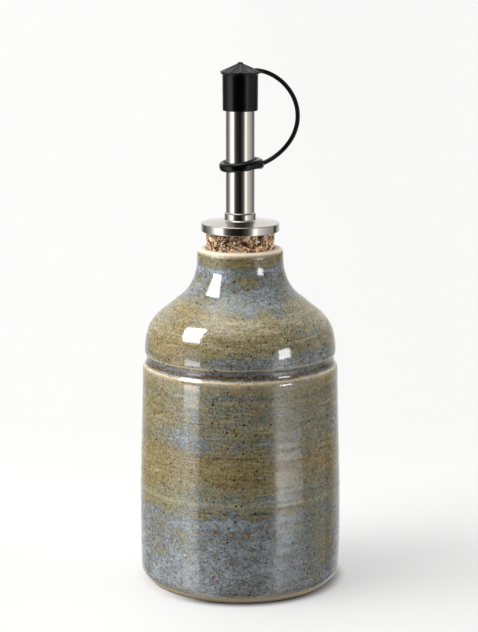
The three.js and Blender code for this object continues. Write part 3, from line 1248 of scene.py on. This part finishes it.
@dataclass
class PourSpout:
    """The steel spout: a round plate, a short collar and a long tube, in millimetres."""

    plate_foot: float = 141.25
    plate_radius: float = 15.5
    plate_thickness: float = 3.4
    plate_edge: float = 0.45
    plate_rise: float = 1.05
    collar_foot_radius: float = 6.8
    collar_radius: float = 6.25
    collar_flare: float = 1.6
    collar_height: float = 4.1
    collar_edge: float = 1.1
    tube_radius: float = 5.7
    tube_top: float = 200.0
    sides: int = 224

    def outline(self) -> list[Point]:
        """The spout's outline from the axis under the plate to the axis at the tube's end."""
        base, top = self.plate_foot, self.plate_foot + self.plate_thickness
        edge, radius = self.plate_edge, self.plate_radius
        collar_top = top + self.collar_height
        foot = (self.collar_foot_radius, top + self.plate_rise)
        brow = (self.collar_radius, collar_top - self.collar_edge)
        return [
            (0.0, base), (9.0, base), (radius - 0.8, base), (radius - edge, base),
            *rounded((radius - edge, base), (radius, base), (radius, base + edge), 6),
            (radius, top - edge - 0.6),
            (radius, top - edge), *rounded((radius, top - edge), (radius, top), (radius - edge, top), 6),
            (radius - 0.9, top + 0.02), (10.5, top + self.plate_rise * 0.6),
            (8.2, top + self.plate_rise * 0.9), foot,
            *rounded(foot, (self.collar_radius, foot[1]), (self.collar_radius, top + self.collar_flare), 9),
            (self.collar_radius, brow[1] - 0.3), brow,
            *rounded(brow, (self.collar_radius, collar_top), (self.tube_radius + 0.05, collar_top), 9),
            (self.tube_radius, collar_top + 0.03), (self.tube_radius, collar_top + 0.5),
            *[(self.tube_radius, z) for z in (155.0, 165.0, 175.0, 185.0, 195.0, self.tube_top - 0.4)],
            (self.tube_radius - 0.4, self.tube_top), (0.0, self.tube_top),
        ]

    def build(self, finish: TurnedSteel) -> bpy.types.Object:
        """Makes and fits the spout.

        Args:
            finish: Its finish.

        Returns:
            The piece.
        """
        mesh = turned_mesh("steel_pour_spout", self.outline(), self.sides)
        mesh.materials.append(finish.dress())
        mesh.set_sharp_from_angle(angle=math.radians(50))
        piece = bpy.data.objects.new("steel_pour_spout", mesh)
        bpy.context.scene.collection.objects.link(piece)
        return fitted(piece, "pour_spout")


@dataclass
class TetheredCap:
    """The rubber cap with its strap and ring, in millimetres."""

    bore: float = 6.0
    bore_top: float = 200.3
    skirt_foot: Point = (6.95, 188.7)
    skirt_top: Point = (7.03, 202.3)
    skirt_edge: float = 0.35
    brim_radius: float = 7.75
    brim_underside: float = 203.05
    brim_thickness: float = 1.05
    cone_foot_radius: float = 7.5
    nub_radius: float = 1.1
    nub_foot: float = 206.95
    cap_top: float = 207.5
    rib_count: int = 12
    rib_height: float = 0.3
    rib_width: float = 0.34
    brim_lift: float = 0.05
    sides: int = 288
    strap_direction: float = math.radians(15)
    strap_half: Point = (0.9, 1.1)
    strap_root: Point = (6.0, 204.15)
    strap_root_handle: float = 7.6
    strap_reach: Point = (23.4, 185.9)
    strap_reach_handles: Point = (10.5, 11.6)
    strap_end: Point = (6.3, 167.2)
    strap_end_handle: float = 4.8
    strap_flare: Point = (0.75, 0.7)
    flare_reach: float = 4.2
    root_flare: Point = (0.1, 0.9)
    root_reach: float = 3.4
    ring_height: float = 167.6
    ring_radius: float = 7.22
    ring_half: Point = (1.17, 1.7)
    ring_swell: Point = (0.55, 0.5)
    ring_swell_reach: float = math.radians(34)
    ring_droop: float = 0.95
    ring_tilt: float = math.radians(8)
    ring_rises_towards: float = math.radians(33)
    voxel: float = 0.15

    def outline(self) -> list[Point]:
        """The cap's outline from the axis in the bore, round the skirt and over the cone."""
        brim_top = self.brim_underside + self.brim_thickness
        edge, brim = self.skirt_edge, self.brim_radius
        foot, top = self.skirt_foot, self.skirt_top
        under = self.brim_underside
        rim = [(brim - 0.12, under), (brim, under + 0.14), (brim, brim_top - 0.16)]
        cone = [(self.cone_foot_radius + (self.nub_radius - self.cone_foot_radius) * t,
                 brim_top + (self.nub_foot - brim_top) * t) for t in np.linspace(0, 1, 34)]
        return [
            (0.0, self.bore_top), (self.bore, self.bore_top), (self.bore, 194.0), (self.bore, foot[1] + 0.2),
            (self.bore + 0.15, foot[1]), (foot[0] - edge, foot[1]),
            *rounded((foot[0] - edge, foot[1]), foot, (foot[0], foot[1] + edge), 5),
            *[(foot[0] + (top[0] - foot[0]) * t, foot[1] + edge + (top[1] - foot[1] - edge) * t)
              for t in np.linspace(0.1, 1, 12)],
            *rounded(top, (top[0], under), rim[0], 6), *rim[1:],
            *rounded(rim[-1], (brim, brim_top), cone[0], 6), *cone[1:],
            *rounded(cone[-1], (self.nub_radius - 0.05, self.cap_top), (0.45, self.cap_top), 7),
            (0.0, self.cap_top),
        ]

    def ribs(self, material: bpy.types.Material) -> Former:
        """The rule for the cap's crown: narrow radial ribs, and a brim that hangs lower away from the strap.

        Args:
            material: The rubber.

        Returns:
            The tree.
        """
        former = Former("cap_ribs", {"Ribs": float(self.rib_count), "Rib height": self.rib_height,
                                     "Rib width": self.rib_width, "Brim lift": self.brim_lift})
        pitch = former.math("DIVIDE", 2 * math.pi, former.size("Ribs"))
        place = former.math("DIVIDE", former.turn, pitch)
        off_rib = former.math("SUBTRACT", former.math("FRACT", former.total(place, 100.0)), 0.5)
        away = former.math("ABSOLUTE", former.product(off_rib, pitch, former.radius))
        valley = former.span(away, former.product(former.size("Rib width"), 0.35), former.size("Rib width"))
        brim_top = self.brim_underside + self.brim_thickness
        on_cone = former.product(former.math("GREATER_THAN", former.z, brim_top - 0.25),
                                 former.span(former.radius, self.nub_radius + 0.05, self.nub_radius + 0.5))
        sunk = former.product(valley, former.size("Rib height"), on_cone, -1.0)
        from_strap = former.math("SUBTRACT", former.math("COSINE", former.turn), 1.0)
        lift = former.product(former.size("Brim lift"), from_strap, former.span(former.radius, 6.9, 7.6),
                              former.span(former.z, 202.4, 203.2), 0.5)
        upright = former.add("ShaderNodeCombineXYZ", {2: 1.0}).outputs[0]
        former.close(former.pushed(former.source.outputs[0], upright, former.total(sunk, lift)), material)
        return former

    def strap_line(self) -> tuple[np.ndarray, np.ndarray]:
        """The strap's middle line and both its half widths, from the brim to the ring."""
        root, reach, end = self.strap_root, self.strap_reach, self.strap_end
        line = [root, *curved(root, (root[0] + self.strap_root_handle, root[1]),
                              (reach[0], reach[1] + self.strap_reach_handles[0]), reach, 70),
                *curved(reach, (reach[0], reach[1] - self.strap_reach_handles[1]),
                        (end[0] + self.strap_end_handle, end[1]), end, 70)]
        flat = np.array(line)
        along = np.concatenate([[0], np.cumsum(np.linalg.norm(np.diff(flat, axis=0), axis=1))])
        flare = np.clip(1 - (along[-1] - along) / self.flare_reach, 0, 1) ** 2
        rise = np.clip(1 - along / self.root_reach, 0, 1) ** 2
        sizes = np.stack([half + end_flare * flare + root_flare * rise for half, end_flare, root_flare
                          in zip(self.strap_half, self.strap_flare, self.root_flare)], axis=1)
        return np.stack([flat[:, 0], np.zeros(len(flat)), flat[:, 1]], axis=1), sizes

    def strap(self) -> bpy.types.Mesh:
        """The strap, which flares a little where it meets the brim and the ring."""
        centres, sizes = self.strap_line()
        ahead = np.gradient(centres, axis=0)
        ahead /= np.linalg.norm(ahead, axis=1)[:, None]
        side = np.repeat([[0.0, 1.0, 0.0]], len(centres), axis=0)
        return outward(swept_mesh("strap", centres, np.cross(ahead, side), side, sizes, False))

    def ring(self) -> bpy.types.Mesh:
        """The tilted ring round the tube, thicker and a little lower where the strap meets it."""
        turn = np.linspace(0, 2 * math.pi, 160, endpoint=False)
        out = np.stack([np.cos(turn), np.sin(turn), np.zeros(len(turn))], axis=1)
        up = np.repeat([[0.0, 0.0, 1.0]], len(turn), axis=0)
        away = np.minimum(turn, 2 * math.pi - turn)
        near = np.exp(-(away / self.ring_swell_reach) ** 2)[:, None]
        swell = near * np.array(self.ring_swell)
        sizes = np.array(self.ring_half) + swell
        middle = out * (self.ring_radius + swell[:, :1]) - up * near * self.ring_droop
        mesh = outward(swept_mesh("ring", middle, out, up, sizes, True, squareness=2.3))
        rise = self.ring_rises_towards - self.strap_direction
        hinge = Vector((math.sin(rise), -math.cos(rise), 0.0))
        tilt = Matrix.Rotation(self.ring_tilt, 4, hinge)
        mesh.transform(Matrix.Translation((0, 0, self.ring_height * MM)) @ tilt)
        return mesh

    def tether(self) -> bpy.types.Object:
        """The strap and the ring melted into one, as they leave the mould."""
        parts = []
        for mesh in (self.strap(), self.ring()):
            part = bpy.data.objects.new(mesh.name, mesh)
            bpy.context.scene.collection.objects.link(part)
            parts.append(part)
        join = parts[0].modifiers.new("join", "BOOLEAN")
        join.object, join.operation, join.solver = parts[1], "UNION", "MANIFOLD"
        melt = parts[0].modifiers.new("melt", "REMESH")
        melt.mode, melt.voxel_size, melt.use_smooth_shade = "VOXEL", self.voxel * MM, True
        smooth = parts[0].modifiers.new("smooth", "SMOOTH")
        smooth.factor, smooth.iterations = 0.5, 20
        piece = baked(parts[0], "tether")
        bpy.data.objects.remove(parts[1])
        return piece

    def build(self, finish: MouldedRubber) -> bpy.types.Object:
        """Makes and fits the cap.

        Args:
            finish: Its finish.

        Returns:
            The piece.
        """
        material = finish.dress()
        cap = self.ribs(material).applied(turned_mesh("cap_blank", self.outline(), self.sides), "cap")
        tether = self.tether()
        tether.data.materials.clear()
        tether.data.materials.append(material)
        join = cap.modifiers.new("join", "BOOLEAN")
        join.object, join.operation, join.solver = tether, "UNION", "MANIFOLD"
        piece = baked(cap, "rubber_cap_and_strap")
        bpy.data.objects.remove(tether)
        piece.data.transform(Matrix.Rotation(self.strap_direction, 4, "Z"))
        piece.data.shade_smooth()
        piece.data.set_sharp_from_angle(angle=math.radians(55))
        return fitted(piece, "cap_and_strap")


@dataclass(frozen=True)
class Card:
    """A bright card that the glaze reflects: a grid of points in millimetres, each with its own radiance."""

    name: str
    points: tuple[Triple, ...]
    glow: tuple[float, ...]
    columns: int


def card_at(name: str, columns: tuple[Point, ...], rows: tuple[Point, ...], distance: float) -> Card:
    """An upright card round the object.

    Args:
        name: The card's name.
        columns: Azimuth in degrees from the camera's side, and the radiance there, from left to right.
        rows: Height in millimetres, and the share of the radiance there, from the foot up.
        distance: How far it stands from the axis, in millimetres.

    Returns:
        The card.
    """
    points = tuple((distance * math.sin(math.radians(side)), -distance * math.cos(math.radians(side)), height)
                   for height, _ in rows for side, _ in columns)
    glow = tuple(radiance * share for _, share in rows for _, radiance in columns)
    return Card(name, points, glow, len(columns))


@dataclass
class Studio:
    """A pale floor under soft daylight from the left, with a dark room on the camera's side.

    Each of the bands is an azimuth, 0 in front and positive to the right, and the radiance there.
    """

    lens: float = 111.2
    camera_place: Triple = (-0.0005, -0.763, 0.258)
    camera_pitch: float = math.radians(78.8)
    floor_reach: float = 12.0
    floor_level: float = 0.46
    # The floor's glow, with painted light: brighter to the left, near the foot on its left side, and over the
    # near floor.
    floor_glow_left: float = 0.335
    floor_glow_right: float = 0.297
    painted_light_near_foot: float = 0.07
    painted_light_near_floor: float = 0.035
    # The painted contact shadow round the foot: its radii, its depth and its tint.
    painted_contact_shadow: Point = (36.6, 43.8)
    painted_shadow_depth: float = 0.98
    painted_shadow_tint: Colour = (0.02, 0.016, 0.012)
    backdrop: float = 0.956
    brightest: float = 2.0
    left_light: float = 4.2
    right_light: float = 2.25
    back_light: float = 1.46
    top_light: float = 0.83
    below_light: float = 0.12
    ceiling_left: float = 3.4
    ceiling_right: float = 0.6
    sun_side: float = math.radians(-66)
    sun_height: float = math.radians(38)
    sun_strength: float = 1.27
    sun_spread: float = math.radians(46)
    sun_tint: Colour = (1.0, 0.985, 0.96)
    fill_side: float = math.radians(56)
    fill_height: float = math.radians(8)
    fill_strength: float = 1.15
    fill_spread: float = math.radians(12)
    low_band: tuple[Point, ...] = (
        (-180, 0.95), (-150, 0.5), (-134, 0.13), (-127, 0.11), (-113, 0.27), (-100, 0.42), (-88, 0.9),
        (-79, 1.7), (-55, 1.7), (-50, 0.7), (-45, 0.25), (-38, 0.09), (-25, 0.03), (-2, 0.01),
        (2, 0.01), (12, 0.04), (22, 0.10), (30, 0.27), (36, 0.6), (39, 1.35), (43, 1.6), (50, 1.5), (55, 0.95),
        (66, 0.74), (86, 0.48), (112, 0.34), (119, 0.05), (127, 0.08), (140, 0.5), (180, 0.95),
    )
    high_band: tuple[Point, ...] = (
        (-180, 0.9), (-130, 0.8), (-100, 0.5), (-60, 0.3), (-40, 0.1), (-5, 0.05),
        (5, 0.05), (40, 0.05), (70, 0.1), (110, 0.26), (140, 0.8), (180, 0.9),
    )

    def camera(self) -> None:
        """Sets the camera up at the photograph's viewing angle."""
        data = bpy.data.cameras.new("camera")
        data.lens, data.sensor_width, data.sensor_fit = self.lens, 36.0, "AUTO"
        data.clip_start, data.clip_end = 0.01, 100.0
        camera = bpy.data.objects.new("camera", data)
        camera.location = self.camera_place
        camera.rotation_euler = (self.camera_pitch, 0.0, 0.0)
        bpy.context.scene.collection.objects.link(camera)
        bpy.context.scene.camera = camera

    def floor(self) -> None:
        """Lays the floor, which glows a little, with painted light to the left, near the foot's left side and
        over the near floor, and a painted contact shadow round the foot, and shows in no reflection.
        """
        bench = Dresser("pale_floor")
        cloud = bench.fog(bench.place, 60.0, 3.0)
        tint = bench.mix(cloud, (self.floor_level,) * 3, (self.floor_level * 0.985,) * 3)
        radius = bench.radius()
        rightward = bench.math("DIVIDE", bench.x, bench.math("MAXIMUM", radius, 1.0))
        # Painted light: more glow near the foot on its left side, more to the left across the floor, and more
        # everywhere up to 60 mm behind the axis, fading out by 260 mm.
        near = bench.product(bench.span(radius, 38.0, 150.0, self.painted_light_near_foot, 0.0),
                             bench.span(rightward, -0.9, 0.1, 1.0, 0.0))
        across = bench.span(bench.x, -110.0, 110.0, self.floor_glow_left, self.floor_glow_right)
        glow = bench.total(across, near, bench.span(bench.y, 60.0, 260.0, self.painted_light_near_floor, 0.0))
        # Painted contact shadow: the floor's colour and glow darken in a ring round the foot, least on the
        # left and a little less at the right.
        painted_contact_shadow = bench.product(bench.span(radius, *self.painted_contact_shadow, self.painted_shadow_depth, 0.0),
                                bench.span(rightward, -0.85, -0.25, 0.1, 1.0),
                                bench.span(rightward, 0.5, 1.0, 1.0, 0.75))
        tint = bench.mix(painted_contact_shadow, tint, self.painted_shadow_tint)
        bench.set(Base_Color=tint, Roughness=0.9, Specular_IOR_Level=0.0, Emission_Color=(1.0, 1.0, 1.0),
                  Emission_Strength=bench.product(glow, bench.math("SUBTRACT", 1.0, painted_contact_shadow)))
        reach = self.floor_reach
        mesh = bpy.data.meshes.new("floor")
        mesh.from_pydata([(-reach, -reach, 0), (reach, -reach, 0), (reach, reach, 0), (-reach, reach, 0)], [],
                         [(0, 1, 2, 3)])
        mesh.materials.append(bench.material)
        floor = bpy.data.objects.new("floor", mesh)
        bpy.context.scene.collection.objects.link(floor)
        floor.visible_glossy = floor.visible_diffuse = False

    def cards(self) -> list[Card]:
        """The bright cards that stand for the windows and their soft neighbours."""
        left_rows = ((-90, 2.2), (-60, 1.8), (-30, 1.4), (0, 0.7), (18, 1.2), (28, 2.1), (36, 3.2), (41, 7.0),
                     (75, 7.0))
        right_rows = ((-160, 0.2), (-95, 0.8), (-60, 2.1), (-40, 2.5), (-18, 1.2), (0, 0.6), (84, 0.6))
        pane = ((-122, -51, 142), (-92, -89, 151), (-78, -7, 176), (-51, -36, 188))
        return [
            Card("left_window", pane, (24.0,) * len(pane), 2),
            card_at("left_strip", ((-64, 1.0), (-45, 1.0)), left_rows, 260),
            card_at("right_window", ((46, 15.0), (61, 15.0)), ((80, 1.0), (455, 1.0)), 1500),
            card_at("right_strip", ((39, 0.9), (44, 1.95), (56, 1.5), (73, 0.5)), right_rows, 420),
        ]

    def hang(self, card: Card, seen_by: bpy.types.Collection) -> None:
        """Hangs one card, which only some pieces' gloss sees.

        Args:
            card: The card.
            seen_by: The pieces that reflect it.
        """
        material = bpy.data.materials.new(card.name)
        material.use_nodes = True
        bench = Bench(material.node_tree)
        bench.tree.nodes.clear()
        strength = bench.add("ShaderNodeAttribute", attribute_name="glow").outputs["Fac"]
        glow = bench.add("ShaderNodeEmission", {"Color": (1.0, 1.0, 1.0), "Strength": strength})
        clear = bench.add("ShaderNodeBsdfTransparent")
        veil = bench.add("ShaderNodeAddShader", {0: glow.outputs[0], 1: clear.outputs[0]})
        bench.add("ShaderNodeOutputMaterial", {0: veil.outputs[0]})
        mesh = bpy.data.meshes.new(card.name)
        wide = card.columns
        faces = [(i, i + 1, i + 1 + wide, i + wide) for i in range(len(card.points) - wide) if (i + 1) % wide]
        mesh.from_pydata([[value * MM for value in point] for point in card.points], [], faces)
        mesh.attributes.new("glow", "FLOAT", "POINT").data.foreach_set("value", card.glow)
        mesh.materials.append(material)
        panel = bpy.data.objects.new(card.name, mesh)
        bpy.context.scene.collection.objects.link(panel)
        panel.visible_camera = panel.visible_diffuse = panel.visible_shadow = False
        panel.light_linking.receiver_collection = seen_by

    def lamp(self, name: str, side: float, height: float, strength: float, spread: float) -> bpy.types.Object:
        """Adds a distant lamp that shows in no reflection.

        Args:
            name: The lamp's name.
            side: Azimuth that it shines from, in radians.
            height: Elevation that it shines from, in radians.
            strength: How strong it is.
            spread: How wide it looks, in radians.

        Returns:
            The lamp.
        """
        data = bpy.data.lights.new(name, "SUN")
        data.energy, data.angle = strength, spread
        lamp = bpy.data.objects.new(name, data)
        level = math.cos(height)
        back = Vector((math.sin(side) * level, -math.cos(side) * level, math.sin(height)))
        lamp.rotation_euler = back.to_track_quat("Z", "Y").to_euler()
        lamp.visible_glossy = False
        bpy.context.scene.collection.objects.link(lamp)
        return lamp

    def daylight(self) -> None:
        """Adds soft daylight from the left, which also throws the shadow on the floor."""
        sun = self.lamp("daylight", self.sun_side, self.sun_height, self.sun_strength, self.sun_spread)
        sun.data.color = self.sun_tint

    def fill(self, cork: bpy.types.Object) -> None:
        """Adds a weak lamp from the right for the cork alone, which the plate keeps in shade.

        Args:
            cork: The cork.
        """
        lamp = self.lamp("cork_fill", self.fill_side, self.fill_height, self.fill_strength, self.fill_spread)
        seen_by = bpy.data.collections.new("lit_by_the_fill")
        seen_by.objects.link(cork)
        lamp.light_linking.receiver_collection = seen_by

    def band(self, bench: Bench, turn: object, stops: tuple[Point, ...]) -> bpy.types.NodeSocket:
        """Radiance round the horizon.

        Args:
            bench: The world under construction.
            turn: Azimuth in degrees.
            stops: Azimuth and radiance, from -180 to 180.

        Returns:
            The radiance there.
        """
        place = bench.span(turn, -180.0, 180.0, smooth=False)
        left, right = (bench.ramp(place, [((side + 180) / 360, level / self.brightest)
                                          for side, level in stops if (side > 0) == rightward])
                       for rightward in (False, True))
        level = bench.level_of(bench.mix(bench.math("GREATER_THAN", turn, 0.0), left, right))
        return bench.product(level, self.brightest)

    def reflected(self, bench: Bench, turn: object, lean: object, across: object) -> bpy.types.NodeSocket:
        """What gloss and polish see: bright windows at both sides, a pale room behind and a dark one in front.

        Args:
            bench: The world under construction.
            turn: Azimuth in degrees.
            lean: Elevation in degrees.
            across: How far the direction points to the right, -1 to 1.

        Returns:
            The radiance there.
        """
        low, high = self.band(bench, turn, self.low_band), self.band(bench, turn, self.high_band)
        over = bench.span(lean, 48.0, 68.0)
        ceiling = bench.span(across, -0.45, 0.45, self.ceiling_left, self.ceiling_right)
        level = bench.total(bench.product(low, bench.span(lean, 3.0, 16.0, 1.0, 0.0)),
                            bench.product(high, bench.span(lean, 3.0, 16.0)))
        level = bench.product(level, bench.math("SUBTRACT", 1.0, over))
        return bench.total(level, bench.product(over, ceiling))

    def shed(self, bench: Bench, turn: object, lean: object) -> bpy.types.NodeSocket:
        """The light that reaches matt colour, from both sides, behind and above, with little from in front.

        Args:
            bench: The world under construction.
            turn: Azimuth in degrees.
            lean: Elevation in degrees.

        Returns:
            The colour of the light from there.
        """
        behind = bench.bump_at(bench.math("ABSOLUTE", turn), 180.0, 80.0)
        sides = bench.total(bench.product(bench.bump_at(turn, -88.0, 60.0), self.left_light),
                            bench.product(bench.bump_at(turn, 92.0, 60.0), self.right_light),
                            bench.product(behind, self.back_light))
        over = bench.span(lean, 35.0, 65.0)
        above = bench.total(bench.product(sides, bench.math("SUBTRACT", 1.0, over)),
                            bench.product(over, self.top_light))
        below = bench.total(bench.span(lean, -60.0, -20.0, 0.45, 0.06),
                            bench.product(bench.bump_at(turn, 90.0, 90.0), self.below_light),
                            bench.product(bench.bump_at(turn, -90.0, 90.0), self.below_light))
        is_above = bench.math("GREATER_THAN", lean, 0.0)
        return bench.grey(bench.total(bench.product(above, is_above),
                                      bench.product(below, bench.math("SUBTRACT", 1.0, is_above))))

    def surround(self) -> None:
        """Makes the room: a plain backdrop for the camera, and other light for gloss and for matt colour."""
        world = bpy.data.worlds.new("surround")
        bpy.context.scene.world = world
        world.use_nodes = True
        bench = Bench(world.node_tree)
        bench.tree.nodes.clear()
        way = bench.add("ShaderNodeTexCoord").outputs["Generated"]
        x, y, z = bench.add("ShaderNodeSeparateXYZ", {0: way}).outputs
        turn = bench.math("ARCTAN2", x, bench.math("MULTIPLY", y, -1.0))
        turn, lean = (bench.product(angle, math.degrees(1.0)) for angle in (turn, bench.math("ARCSINE", z)))
        gloss = bench.grey(self.reflected(bench, turn, lean, x))
        soft = self.shed(bench, turn, lean)
        rays = bench.add("ShaderNodeLightPath").outputs
        light = bench.mix(rays["Is Glossy Ray"], soft, gloss)
        light = bench.mix(rays["Is Camera Ray"], light, (self.backdrop,) * 3)
        glow = bench.add("ShaderNodeBackground", {"Color": light, "Strength": 1.0})
        bench.add("ShaderNodeOutputWorld", {0: glow.outputs[0]})

    def build(self) -> None:
        """Sets up the camera, the floor and the light."""
        bpy.context.scene.view_settings.view_transform = "Standard"
        self.camera()
        self.floor()
        self.surround()
        self.daylight()

    def light_the_glaze(self, bottle: bpy.types.Object) -> None:
        """Hangs the cards, which the bottle alone reflects.

        Args:
            bottle: The glazed bottle.
        """
        seen_by = bpy.data.collections.new("reflects_the_cards")
        seen_by.objects.link(bottle)
        cards = self.cards()
        for card in cards:
            self.hang(card, seen_by)
        LOG.info("studio with %d cards", len(cards))


def corners(box: tuple[Vector, Vector]) -> list[list[float]]:
    """A box's two corners as plain lists."""
    return [list(corner) for corner in box]


def main() -> None:
    """Builds the studio and every piece."""
    logging.basicConfig(level=logging.INFO, format="%(name)s: %(message)s")
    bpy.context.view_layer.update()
    studio = Studio()
    studio.build()
    studio.light_the_glaze(ThrownBottle().build(SpeckledGlaze()))
    studio.fill(CorkStopper().build(PressedCork()))
    PourSpout().build(TurnedSteel())
    TetheredCap().build(MouldedRubber())


if __name__ == "__main__":
    main()
